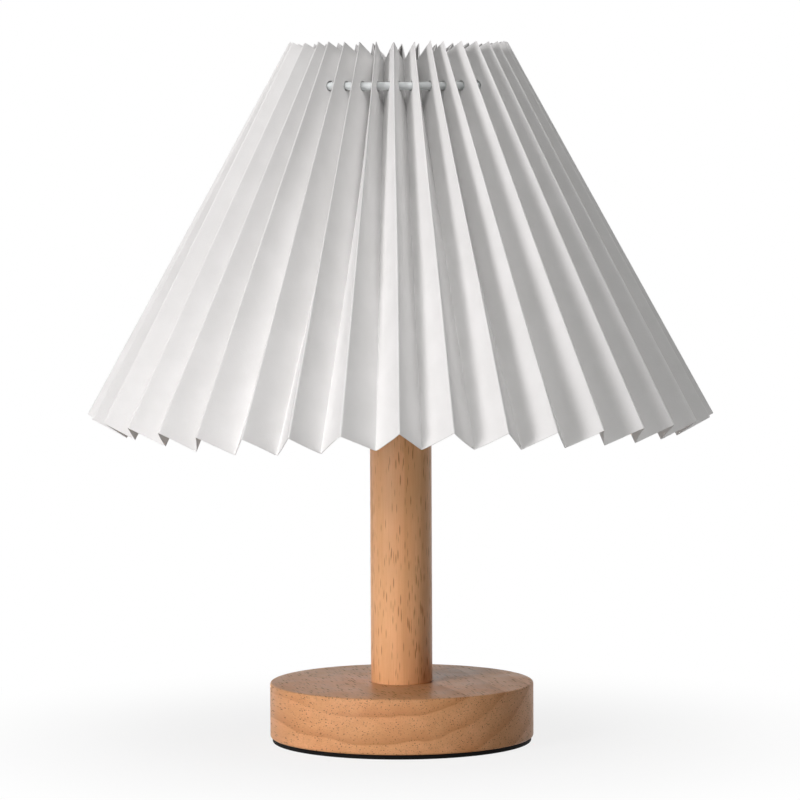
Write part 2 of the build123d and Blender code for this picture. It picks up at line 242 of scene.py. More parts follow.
def cut_away(piece, shape):
    """Takes a closed shape of (vertices, faces) out of a piece."""
    cutter = new_object("cutter", shape)
    cut = piece.modifiers.new("bore", "BOOLEAN")
    cut.operation = "DIFFERENCE"
    cut.solver = "EXACT"
    cut.object = cutter
    keep_result(piece)
    bpy.data.objects.remove(cutter)
    piece.data.shade_smooth()
    piece.data.set_sharp_from_angle(angle=math.radians(35))


def keep_result(piece):
    """Replaces a piece's mesh by what its modifiers make of it."""
    bpy.context.view_layer.update()
    evaluated = piece.evaluated_get(bpy.context.evaluated_depsgraph_get())
    result = bpy.data.meshes.new_from_object(evaluated)
    piece.modifiers.clear()
    piece.data = result


def node_ring(name):
    """Radius, lowest and highest level of a round node that stands on the axis."""
    low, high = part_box(name)
    return (high.x - low.x) / 2, low.z, high.z


# ---- Node groups that several finishes share ----


def add_node(tree, kind, inputs=(), **settings):
    """A node with its settings and inputs filled in; an input that is a socket is linked."""
    node = tree.nodes.new("ShaderNode" + kind)
    for name, value in settings.items():
        setattr(node, name, value)
    for name, value in dict(inputs).items():
        if isinstance(value, bpy.types.NodeSocket):
            tree.links.new(value, node.inputs[name])
        else:
            node.inputs[name].default_value = value
    return node


def calculate(tree, operation, first, second=0.0, third=0.0, clamp=False):
    """The output of a Math node."""
    inputs = {0: first, 1: second, 2: third}
    return add_node(tree, "Math", inputs, operation=operation, use_clamp=clamp).outputs[0]


def remap(tree, value, low, high, to_low=0.0, to_high=1.0):
    """A value taken smoothly from one range to another."""
    inputs = {"Value": value, "From Min": low, "From Max": high}
    inputs |= {"To Min": to_low, "To Max": to_high}
    return add_node(tree, "MapRange", inputs, interpolation_type="SMOOTHSTEP").outputs["Result"]


def noise(tree, cells, detail, scale=1.0, roughness=0.5):
    """The value of a Noise texture over cells."""
    inputs = {"Vector": cells, "Scale": scale, "Detail": detail, "Roughness": roughness}
    return add_node(tree, "TexNoise", inputs).outputs["Fac"]


def new_group(name, inputs, outputs):
    """An empty node group with named sockets, and its inner input and output sockets."""
    group = bpy.data.node_groups.new(name, "ShaderNodeTree")
    for label, value in inputs.items():
        kind = "NodeSocketVector" if label == "Vector" else "NodeSocketFloat"
        socket = group.interface.new_socket(label, in_out="INPUT", socket_type=kind)
        if value is not None:
            socket.default_value = value
    for label in outputs:
        group.interface.new_socket(label, in_out="OUTPUT", socket_type="NodeSocketFloat")
    entry = group.nodes.new("NodeGroupInput")
    leave = group.nodes.new("NodeGroupOutput")
    return group, entry.outputs, leave.inputs


def stretched(tree, vector, across, along):
    """A vector measured in cells that are across wide and along long, with the length on Z."""
    cell = add_node(tree, "CombineXYZ", {"X": across, "Y": across, "Z": along}).outputs[0]
    return add_node(tree, "VectorMath", {0: vector, 1: cell}, operation="DIVIDE").outputs[0]


def make_streaks_group():
    """Soft streaks along Z, such as fibres, brushing or colour drift."""
    group, entry, leave = new_group(
        "streaks", {"Vector": None, "Across": 0.001, "Along": 0.01, "Detail": 3.0}, ["Mask"]
    )
    cells = stretched(group, entry["Vector"], entry["Across"], entry["Along"])
    fac = noise(group, cells, entry["Detail"], roughness=0.55)
    group.links.new(remap(group, fac, 0.28, 0.72), leave["Mask"])
    return group


def make_pores_group():
    """Short open vessels of a hardwood, cut lengthwise as dashes and across as specks."""
    group, entry, leave = new_group(
        "open_pores", {"Vector": None, "Across": 0.0018, "Along": 0.014, "Size": 0.2}, ["Mask"]
    )
    cells = stretched(group, entry["Vector"], entry["Across"], entry["Along"])
    distance = add_node(group, "TexVoronoi", {"Vector": cells, "Scale": 1.0}).outputs["Distance"]
    inner = calculate(group, "MULTIPLY", entry["Size"], 0.45)
    group.links.new(remap(group, distance, inner, entry["Size"], 1.0, 0.0), leave["Mask"])
    return group


def make_rings_group():
    """Growth rings round the Z axis: each rises slowly to its dark late wood, then drops."""
    group, entry, leave = new_group(
        "growth_rings",
        {"Vector": None, "Spacing": 0.004, "Wobble": 0.006, "Fade": 3.0},
        ["Late Wood"],
    )
    parts = add_node(group, "SeparateXYZ", {"Vector": entry["Vector"]}).outputs
    cells = stretched(group, entry["Vector"], 0.025, 0.12)
    bend = noise(group, cells, 2.0)
    square = calculate(group, "MULTIPLY_ADD", parts["X"], parts["X"],
                       calculate(group, "MULTIPLY", parts["Y"], parts["Y"]))
    radius = calculate(group, "SQRT", square)
    bent = calculate(group, "MULTIPLY_ADD", bend, entry["Wobble"], radius)
    phase = calculate(group, "FRACT", calculate(group, "DIVIDE", bent, entry["Spacing"]))
    late = calculate(group, "POWER", phase, entry["Fade"])
    late = calculate(group, "MULTIPLY", late, remap(group, phase, 0.93, 1.0, 1.0, 0.0))
    patchy = remap(group, noise(group, cells, 1.0, scale=0.9), 0.35, 0.62, 0.25, 1.0)
    late = calculate(group, "MULTIPLY", late, patchy)
    group.links.new(late, leave["Late Wood"])
    return group


def make_mottle_group():
    """Cloudy variation at one size, put out between two levels."""
    group, entry, leave = new_group(
        "mottle", {"Vector": None, "Size": 0.01, "Low": 0.0, "High": 1.0}, ["Value"]
    )
    cells = stretched(group, entry["Vector"], entry["Size"], entry["Size"])
    value = remap(group, noise(group, cells, 4.0), 0.3, 0.7, entry["Low"], entry["High"])
    group.links.new(value, leave["Value"])
    return group


def make_specks_group():
    """Small separate specks, such as dust, pits or moulding grain."""
    group, entry, leave = new_group(
        "specks", {"Vector": None, "Size": 0.001, "Share": 0.25}, ["Mask"]
    )
    cells = stretched(group, entry["Vector"], entry["Size"], entry["Size"])
    distance = add_node(group, "TexVoronoi", {"Vector": cells, "Scale": 1.0}).outputs["Distance"]
    group.links.new(remap(group, distance, 0.0, entry["Share"], 1.0, 0.0), leave["Mask"])
    return group


streaks = make_streaks_group()
open_pores = make_pores_group()
growth_rings = make_rings_group()
mottle = make_mottle_group()
specks = make_specks_group()


def use_group(tree, group, vector, output, **values):
    """One output of a shared group placed in a material with its own values."""
    node = tree.nodes.new("ShaderNodeGroup")
    node.node_tree = group
    tree.links.new(vector, node.inputs["Vector"])
    for name, value in values.items():
        node.inputs[name.replace("_", " ").title()].default_value = value
    return node.outputs[output]


def clouds(tree, vector, size, low=0.0, high=1.0):
    """The mottle group's value."""
    return use_group(tree, mottle, vector, "Value", size=size, low=low, high=high)


def dots(tree, vector, size, share):
    """The specks group's mask."""
    return use_group(tree, specks, vector, "Mask", size=size, share=share)


def lines(tree, vector, across, along, detail):
    """The streaks group's mask."""
    return use_group(tree, streaks, vector, "Mask", across=across, along=along, detail=detail)


def blend_colours(tree, mask, low, high):
    """Two colours mixed by a mask; each is a colour or another node's colour output."""
    low, high = (
        colour if isinstance(colour, bpy.types.NodeSocket) else (*colour, 1.0)
        for colour in (low, high)
    )
    return add_node(tree, "Mix", {0: mask, 6: low, 7: high}, data_type="RGBA").outputs[2]


def tint(tree, base, colour, mask, share):
    """A colour shifted towards another by a share of a mask."""
    return blend_colours(tree, calculate(tree, "MULTIPLY", mask, share), base, colour)


def bump(tree, height, distance, strength=1.0, under=None):
    """A normal pushed by a height, in metres at full height, over another bump if there is one."""
    inputs = {"Height": height, "Distance": distance, "Strength": strength}
    if under:
        inputs["Normal"] = under
    return add_node(tree, "Bump", inputs).outputs["Normal"]


def start_material(name, **constants):
    """A material with a Principled shader whose constants stand on its own sockets."""
    material = bpy.data.materials.new(name)
    material.use_nodes = True
    tree = material.node_tree
    shader = tree.nodes["Principled BSDF"]
    for label, value in constants.items():
        shader.inputs[label.replace("_", " ")].default_value = value
    vector = add_node(tree, "TexCoord").outputs["Object"]
    return material, tree, shader, vector


def feed(tree, shader, **sockets):
    """Links outputs to the shader's inputs of these names."""
    for label, output in sockets.items():
        tree.links.new(output, shader.inputs[label.replace("_", " ")])


# ---- Finishes ----


def wood_finish(name, grain_turn, ring_axis, early, late, pore, ring_spacing, gloss):
    """Clear-varnished open-pored hardwood. grain_turn lays the grain along Z of the texture."""
    material, tree, shader, vector = start_material(
        name, Specular_IOR_Level=0.15, Coat_Weight=gloss, Coat_Roughness=0.3
    )
    place = {"Vector": vector, "Location": ring_axis, "Rotation": grain_turn}
    laid = add_node(tree, "Mapping", place, vector_type="TEXTURE").outputs["Vector"]
    rings = use_group(tree, growth_rings, laid, "Late Wood",
                      spacing=ring_spacing, wobble=0.008, fade=2.5)
    broad = lines(tree, laid, 0.006, 0.09, 2.0)
    fibres = lines(tree, laid, 0.0005, 0.016, 3.0)
    dashes = use_group(tree, open_pores, laid, "Mask", across=0.0013, along=0.013, size=0.25)
    fine_dashes = use_group(tree, open_pores, laid, "Mask", across=0.0009, along=0.011, size=0.26)
    olive = clouds(tree, laid, 0.03, 0.0, 0.22)
    tone = blend_colours(tree, rings, early, late)
    tone = tint(tree, tone, late, broad, 0.3)
    tone = blend_colours(tree, olive, tone, (0.5, 0.34, 0.15))
    tone = tint(tree, tone, late, fibres, 0.4)
    tone = tint(tree, tone, pore, fine_dashes, 0.7)
    tone = tint(tree, tone, pore, dashes, 0.85)
    sheen = clouds(tree, vector, 0.012, 0.36, 0.46)
    rough = calculate(tree, "MULTIPLY_ADD", dashes, 0.25, sheen)
    sunk = calculate(tree, "MAXIMUM", dashes, calculate(tree, "MULTIPLY", fine_dashes, 0.5))
    normal = bump(tree, calculate(tree, "SUBTRACT", 1.0, sunk), 0.00004, 0.2)
    normal = bump(tree, fibres, 0.00002, 0.5, normal)
    feed(tree, shader, Base_Color=tone, Roughness=rough, Normal=normal)
    return material


def paper_finish():
    """White uncoated card: faint cloudiness, a felt-side tooth and a dry surface."""
    material, tree, shader, vector = start_material("shade_paper", Specular_IOR_Level=0.25)
    cloudy = clouds(tree, vector, 0.014)
    flecks = dots(tree, vector, 0.0016, 0.2)
    tone = blend_colours(tree, cloudy, (0.835, 0.832, 0.826), (0.87, 0.866, 0.862))
    tone = tint(tree, tone, (0.7, 0.69, 0.66), flecks, 0.12)
    tooth = clouds(tree, vector, 0.0006)
    cockle = clouds(tree, vector, 0.02)
    normal = bump(tree, tooth, 0.00003, 0.5)
    normal = bump(tree, cockle, 0.0002, 0.35, normal)
    rough = remap(tree, tooth, 0.0, 1.0, 0.82, 0.95)
    feed(tree, shader, Base_Color=tone, Roughness=rough, Normal=normal)
    return material


def foam_finish():
    """Black closed-cell foam with fine open cells on its cut edge, their hollows painted darker as
    shade.
    """
    material, tree, shader, vector = start_material("pad_foam", Specular_IOR_Level=0.12)
    pits_and_painted_shade = dots(tree, vector, 0.0007, 0.45)
    dust = clouds(tree, vector, 0.006, 0.0, 0.35)
    # The cell mask darkens the colour in the hollows: painted shade. It also sets the roughness
    # and the bump.
    tone = blend_colours(tree, pits_and_painted_shade, (0.004, 0.004, 0.0035), (0.0015, 0.0015, 0.0015))
    tone = blend_colours(tree, dust, tone, (0.008, 0.0075, 0.007))
    rough = remap(tree, pits_and_painted_shade, 0.0, 1.0, 0.78, 0.95)
    feed(tree, shader, Base_Color=tone, Roughness=rough,
         Normal=bump(tree, calculate(tree, "SUBTRACT", 1.0, pits_and_painted_shade), 0.0001, 0.7))
    return material


def moulded_finish(name, colour, shine, grain=0.0005, **constants):
    """Moulded plastic with a fine eroded grain, faint flow clouds and handling marks."""
    material, tree, shader, vector = start_material(name, **constants)
    cloudy = clouds(tree, vector, 0.011)
    darker = [channel * 0.93 for channel in colour]
    tone = blend_colours(tree, cloudy, darker, colour)
    erosion = clouds(tree, vector, grain)
    marks = lines(tree, vector, 0.0008, 0.02, 2.0)
    rough = remap(tree, marks, 0.0, 1.0, shine - 0.05, shine + 0.06)
    feed(tree, shader, Base_Color=tone, Roughness=rough, Normal=bump(tree, erosion, 0.00002, 0.5))
    return material


def metal_finish(name, colour, tarnish, shine, across=0.0006, along=0.02):
    """Bare or plated metal: rolling lines, thumbed dull patches and small dark specks."""
    material, tree, shader, vector = start_material(name, Metallic=1.0)
    rolled = lines(tree, vector, across, along, 3.0)
    patches = clouds(tree, vector, 0.007, 0.0, 0.5)
    spots = dots(tree, vector, 0.0015, 0.15)
    tone = blend_colours(tree, patches, colour, tarnish)
    tone = tint(tree, tone, tarnish, spots, 0.3)
    rough = remap(tree, rolled, 0.0, 1.0, shine - 0.06, shine + 0.1)
    feed(tree, shader, Base_Color=tone, Roughness=rough, Normal=bump(tree, rolled, 0.00001, 0.4))
    return material


def coated_steel_finish():
    """White powder coat with its orange peel, slightly yellowed in patches."""
    material, tree, shader, vector = start_material("carrier_steel")
    peel = clouds(tree, vector, 0.0009)
    ageing = clouds(tree, vector, 0.02)
    tone = blend_colours(tree, ageing, (0.8, 0.8, 0.79), (0.78, 0.77, 0.73))
    rough = remap(tree, peel, 0.0, 1.0, 0.38, 0.52)
    feed(tree, shader, Base_Color=tone, Roughness=rough, Normal=bump(tree, peel, 0.00004, 0.6))
    return material


def ceramic_finish():
    """Unglazed white ceramic with a sandy pressed surface."""
    material, tree, shader, vector = start_material("holder_ceramic")
    sand = dots(tree, vector, 0.0005, 0.6)
    stain = clouds(tree, vector, 0.008, 0.0, 0.6)
    tone = blend_colours(tree, stain, (0.82, 0.8, 0.76), (0.72, 0.68, 0.6))
    rough = remap(tree, sand, 0.0, 1.0, 0.6, 0.85)
    feed(tree, shader, Base_Color=tone, Roughness=rough, Normal=bump(tree, sand, 0.00006, 0.6))
    return material


def clear_tube_finish():
    """Clear flexible tube, a little hazy along its length."""
    material, tree, shader, vector = start_material(
        "clear_tube", IOR=1.35, Transmission_Weight=0.35, Metallic=0.0
    )
    haze = clouds(tree, vector, 0.004, 0.3, 0.42)
    cast = clouds(tree, vector, 0.02)
    tone = blend_colours(tree, cast, (0.84, 0.88, 0.88), (0.92, 0.95, 0.95))
    feed(tree, shader, Base_Color=tone, Roughness=haze)
    return material


def opal_finish():
    """Opal cover of the bulb, unlit: milky, with a soft gloss and faint frosting."""
    material, tree, shader, vector = start_material(
        "opal_cover", Subsurface_Weight=0.25, Subsurface_Scale=0.004, Subsurface_Radius=(1, 1, 1),
        Coat_Weight=0.3, Coat_Roughness=0.2
    )
    cloudy = clouds(tree, vector, 0.015)
    frost = clouds(tree, vector, 0.0004)
    tone = blend_colours(tree, cloudy, (0.86, 0.86, 0.84), (0.89, 0.89, 0.88))
    rough = remap(tree, cloudy, 0.0, 1.0, 0.3, 0.38)
    feed(tree, shader, Base_Color=tone, Roughness=rough, Normal=bump(tree, frost, 0.00001, 0.3))
    return material


quarter = math.pi / 2
finishes = {
    "base_wood": wood_finish(
        "base_wood", (quarter, 0.0, math.radians(16)), (-0.027, 0.0, 0.105),
        (0.93, 0.5, 0.255), (0.6, 0.25, 0.09), (0.27, 0.1, 0.03), 0.0115, 0.0,
    ),
    "post_wood": wood_finish(
        "post_wood", (0.0, 0.0, 0.0), (0.03, 0.05, 0.0),
        (0.98, 0.55, 0.28), (0.74, 0.35, 0.14), (0.44, 0.16, 0.045), 0.0062, 0.2,
    ),
    "pad_foam": foam_finish(),
    "gland_plastic": moulded_finish("gland_plastic", (0.02, 0.02, 0.02), 0.45),
    "plated_steel": metal_finish("plated_steel", (0.62, 0.62, 0.6), (0.42, 0.42, 0.4), 0.34),
    "holder_plastic": moulded_finish("holder_plastic", (0.8, 0.8, 0.78), 0.4),
    "holder_ceramic": ceramic_finish(),
    "holder_brass": metal_finish("holder_brass", (0.78, 0.58, 0.27), (0.5, 0.34, 0.13), 0.28),
    "carrier_steel": coated_steel_finish(),
    "shade_paper": paper_finish(),
    "clear_tube": clear_tube_finish(),
    "joiner_plastic": moulded_finish("joiner_plastic", (0.82, 0.83, 0.83), 0.25),
    "opal_cover": opal_finish(),
    "bulb_plastic": moulded_finish("bulb_plastic", (0.84, 0.84, 0.83), 0.38),
    "board_aluminium": moulded_finish("board_aluminium", (0.82, 0.82, 0.82), 0.42, grain=0.0003),
    "cap_metal": metal_finish("cap_metal", (0.76, 0.76, 0.74), (0.55, 0.55, 0.52), 0.3),
    "insulator_black": moulded_finish("insulator_black", (0.015, 0.015, 0.017), 0.2),
}


def finish_nodes():
    """Gives every node of the frame the finish of its own slot."""
    for part in frame["record"]["subparts"]:
        mesh = nodes[part["node"]].data
        mesh.materials.clear()
        mesh.materials.append(finishes[part["material_slot"]])


# ---- Wooden stand ----


def make_foot_pad():
    """The foam disc glued under the base, cut with a slightly soft edge."""
    radius, low, high = node_ring("base_pad")
    edge = 0.35 * mm
    profile = round_corners([(0, low, 0), (radius, low, edge), (radius, high, edge), (0, high, 0)])
    add_piece("foot_pad", turned(profile, 128), "stand", "pad_foam", ["base_pad"])


def make_wooden_base():
    """The turned base with its recess, stepped centre hole, and the lead's bore at the back."""
    radius, low, high = node_ring("base_disc")
    edge = 1.1 * mm
    small_edge = 0.3 * mm
    recess_radius = 25 * mm
    recess_top = low + 13 * mm
    socket_radius = 10.1 * mm
    socket_floor = high - 8 * mm
    profile = round_corners([
        (rod_hole_radius, recess_top, 0),
        (rod_hole_radius, socket_floor, 0),
        (socket_radius, socket_floor, 0),
        (socket_radius, high, 0),
        (radius, high, edge),
        (radius, low, edge),
        (recess_radius, low, small_edge),
        (recess_radius, recess_top, 0),
    ])
    base = add_piece("lamp_base", turned(profile, 160), "stand", "base_wood", ["base_disc"])
    gland_low, gland_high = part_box("cord_gland")
    level = (gland_low.z + gland_high.z) / 2
    lead_bore, barrel_bore, flange_bore = 4 * mm, 5.6 * mm, 7.1 * mm
    seat, barrel_end, outside = radius - 0.8 * mm, gland_low.y, radius + 2 * mm
    stepped_bore = turned([
        (0, 0), (lead_bore, 0), (lead_bore, barrel_end), (barrel_bore, barrel_end),
        (barrel_bore, seat), (flange_bore, seat), (flange_bore, outside), (0, outside),
    ], 48)
    cut_away(base, laid_back(stepped_bore, level))


def make_post():
    """The straight turned post with its tenon and the hole for the rod."""
    radius, low, high = node_ring("post")
    foot = node_ring("base_disc")[2]
    edge = 0.45 * mm
    tenon_radius = 10 * mm
    profile = round_corners([
        (rod_hole_radius, low, 0),
        (tenon_radius, low, 0.5 * mm),
        (tenon_radius, foot, 0),
        (radius, foot, edge),
        (radius, high, edge),
        (rod_hole_radius, high, 0.2 * mm),
    ])
    add_piece("lamp_post", turned(profile, 128), "stand", "post_wood", ["post"])


def make_gland():
    """The strain-relief gland: a domed flange outside and a ribbed barrel in the wood."""
    low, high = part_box("cord_gland")
    level = (low.z + high.z) / 2
    flange_radius = (high.x - low.x) / 2
    flange_back = high.y - 1.6 * mm
    bore, barrel = 3.3 * mm, 5.5 * mm
    rib = 0.25 * mm
    corners = [(bore, low.y, 0.3 * mm), (barrel - rib, low.y, 0.3 * mm)]
    start = low.y + 2 * mm
    while start < flange_back - 3 * mm:
        corners += [
            (barrel - rib, start, 0),
            (barrel, start + 0.4 * mm, 0),
            (barrel, start + 1.2 * mm, 0),
            (barrel - rib, start + 1.6 * mm, 0),
        ]
        start += 2.4 * mm
    corners += [
        (barrel - rib, flange_back, 0),
        (flange_radius, flange_back, 0.2 * mm),
        (flange_radius, high.y, 0.9 * mm),
        (bore, high.y, 0.6 * mm),
    ]
    gland = laid_back(turned(round_corners(corners), 64), level)
    add_piece("cord_gland_ribbed", gland, "stand", "gland_plastic", ["cord_gland"])


# ---- Lamp holder ----


def make_holder_cap():
    """The lower half of the holder: neck, flare and a wall with grip flutes."""
    radius, low, high = node_ring("holder_cap")
    neck, neck_top, flare_top = 9.5 * mm, low + 5 * mm, low + 12 * mm
    inner, ledge = radius - 2 * mm, low + 14 * mm
    floor = low + 6.5 * mm
    room = 8.15 * mm
    profile = round_corners([
        (rod_hole_radius, low, 0),
        (neck, low, 0.5 * mm),
        (neck, neck_top, 1.5 * mm),
        (radius, flare_top, 2.5 * mm),
        (radius, high, 0.4 * mm),
        (inner, high, 0.2 * mm),
        (inner, ledge, 0),
        (inner - 1.5 * mm, ledge, 0),
        (inner - 1.5 * mm, flare_top, 0),
        (room, floor, 0),
        (rod_hole_radius, floor, 0),
    ])
    cap = fluted(turned(profile, 180), radius, flare_top + 2 * mm, high - 2 * mm)
    add_piece("holder_cap_moulded", cap, "stand", "holder_plastic", ["holder_cap"])


def fluted(shape, radius, low, high):
    """Presses shallow grip flutes into a shape's outer wall between two levels."""
    flutes, depth = 30, 0.35 * mm
    vertices, faces = shape
    pressed = []
    for x, y, z in vertices:
        distance = math.hypot(x, y)
        if distance > radius - mm / 10 and low < z < high:
            turn = math.atan2(y, x)
            shrink = 1 - depth / distance * (0.5 - 0.5 * math.cos(flutes * turn))
            x, y = x * shrink, y * shrink
        pressed.append((x, y, z))
    return pressed, faces


def make_holder_sleeve():
    """The upper half of the holder: fluted skirt, shoulder for the carrier, collar and lip."""
    shoulder_radius, spigot_low, high = node_ring("holder_sleeve")
    radius, _, rim = node_ring("holder_cap")
    shoulder_top = node_ring("carrier_hub")[1]
    shoulder_low = shoulder_top - 2.5 * mm
    inner, spigot = radius - 3.5 * mm, radius - 2.1 * mm
    collar, lip = 19.7 * mm, 14.6 * mm
    corners = [
        (inner, spigot_low, 0),
        (spigot, spigot_low, 0.3 * mm),
        (spigot, rim, 0),
        (radius, rim, 0.4 * mm),
    ]
    corners += [(radius, level, 0) for level in evenly_between(rim + 1.4 * mm, shoulder_low, 6)]
    corners += [
        (radius, shoulder_low, 0.5 * mm),
        (shoulder_radius, shoulder_low, 0.5 * mm),
        (shoulder_radius, shoulder_top, 0.5 * mm),
        (collar, shoulder_top, 0.2 * mm),
        (collar, high, 0.8 * mm),
        (lip, high, 0.5 * mm),
        (lip, high - 2 * mm, 0.3 * mm),
        (inner, high - 2 * mm, 0),
    ]
    sleeve = turned(round_corners(corners), 180)
    sleeve = fluted(sleeve, radius, rim + 1.2 * mm, shoulder_low - 1.2 * mm)
    add_piece("holder_sleeve_moulded", sleeve, "stand", "holder_plastic", ["holder_sleeve"])


def threaded_wall(outer_radius, depth, low, high, wall, turns_phase=0.0, segments=72):
    """A thin sheet wall rolled into a round thread, running out smoothly at both ends."""
    rows = 96
    vertices, faces, skins = [], [], []
    for skin in (0.0, wall):
        skins.append([])
        for row in range(rows + 1):
            level = low + (high - low) * row / rows
            fade = min(1.0, min(level - low, high - level) / (thread_pitch * 0.6))
            skins[-1].append(range(len(vertices), len(vertices) + segments))
            for segment in range(segments):
                turn = 2 * math.pi * segment / segments
                wave = math.sin(2 * math.pi * level / thread_pitch - turn + turns_phase)
                radius = outer_radius - skin - depth * (0.5 - 0.5 * wave) * fade
                vertices.append((radius * math.cos(turn), radius * math.sin(turn), level))
    for rings in skins:
        for ring, above in zip(rings, rings[1:]):
            faces += band(ring, above)
    outside, inside = skins
    faces += band(outside[0], inside[0]) + band(outside[-1], inside[-1])
    return vertices, faces


def make_screw_shell():
    """The brass shell of the holder with its rolled thread and turned-out foot."""
    foot_radius, low, high = node_ring("screw_shell")
    outside, sheet = 13.7 * mm, 0.4 * mm
    inside, foot_top = outside - sheet, low + sheet
    shell = threaded_wall(outside, 0.35 * mm, foot_top, high, sheet, math.pi)
    foot = turned([
        (inside, low), (foot_radius, low), (foot_radius, foot_top), (inside, foot_top),
    ], 72)
    add_piece("screw_shell_rolled", joined(shell, foot), "stand", "holder_brass", ["screw_shell"])


# ---- Wire carrier ----


def make_carrier():
    """The carrier's round wires and its pressed hub, welded together."""
    outer, low, high = node_ring("carrier_ring")
    middle = arc(outer - carrier_wire_radius, (low + high) / 2, 0, 2 * math.pi, 160)[:-1]
    ring = swept(middle, [carrier_wire_radius], Vector((0, 0, 1)), closed=True)
    add_piece("carrier_ring_wire", ring, "carrier", "carrier_steel", ["carrier_ring"])
    hub_radius, hub_low, hub_high = node_ring("carrier_hub")
    bore = 20.2 * mm
    edge = 0.35 * mm
    hub = turned(round_corners([
        (bore, hub_low, edge), (hub_radius, hub_low, edge),
        (hub_radius, hub_high, edge), (bore, hub_high, edge),
    ]), 128)
    add_piece("carrier_hub_pressed", hub, "carrier", "carrier_steel", ["carrier_hub"])
    bend = Vector((hub_radius + 6 * mm, 0, hub_high + arm_wire_radius))
    start = Vector((bore + 0.6 * mm, 0, bend.z))
    end = Vector((outer - carrier_wire_radius, 0, (low + high) / 2 - carrier_wire_radius))
    rise = (end - bend).normalized()
    bend_reach = 3.4 * mm
    bend_start, bend_end = bend - Vector((bend_reach, 0, 0)), bend + rise * bend_reach
    path = [start]
    for step in range(9):
        t = step / 8
        path.append(bend_start * (1 - t) ** 2 + bend * 2 * t * (1 - t) + bend_end * t**2)
    path.append(end)
    arms = []
    for arm in range(3):
        turn = Matrix.Rotation(quarter + 2 * math.pi * arm / 3, 3, "Z")
        side = turn @ Vector((0, 1, 0))
        arms.append(swept([turn @ point for point in path], [arm_wire_radius], side))
    add_piece("carrier_arms_bent", joined(*arms), "carrier", "carrier_steel", ["carrier_arms"])


# ---- Pleated shade ----


def spread_folds(front, back):
    """Angles of all outer folds from the front: the ones given, and the rest evenly between."""
    missing = pleats - len(front) - len(back)
    right = round((back[0] - front[-1]) * pleats / 360) - 1 if back else missing
    round_again = front[0] + 360
    folds = [*front, *evenly_between(front[-1], back[0] if back else round_again, right)]
    if back:
        folds += [*back, *evenly_between(back[-1], round_again, missing - right)]
    return folds


def inner_fold_end(outer_radius, outer_level, half_angle):
    """Radius and level of an inner fold's end between two outer folds' ends.

    A panel is panel_width wide with its end cut square to the folds.
    """
    slope = (outer_foot_radius - outer_tip_radius) / (outer_tip_level - outer_foot_level)
    lean = 1 + slope**2
    square = lean * math.cos(half_angle) ** 2 + math.sin(half_angle) ** 2
    middle = lean * outer_radius * math.cos(half_angle)
    spread = middle**2 - square * (lean * outer_radius**2 - panel_width**2)
    radius = (middle - math.sqrt(spread)) / square
    return radius, outer_level - (outer_radius - radius * math.cos(half_angle)) * slope


def rim_wave(degrees_round):
    """How far the rim rides up or down round the shade, because the paper is hand-set."""
    turned_by = (degrees_round + 180) % 360 - 180
    rise = 1.3 * math.exp(-(((turned_by - 4) / 15) ** 2))
    sag = 1.7 * math.exp(-(((turned_by + 34) / 15) ** 2))
    return (rise - sag + 0.5 * math.sin(math.radians(3 * turned_by + 40))) * mm


def round_point(radius, degrees_round, level):
    """A point given by its radius, its angle from the front, and its level."""
    turn = math.radians(degrees_round)
    return Vector((radius * math.sin(turn), -radius * math.cos(turn), level))


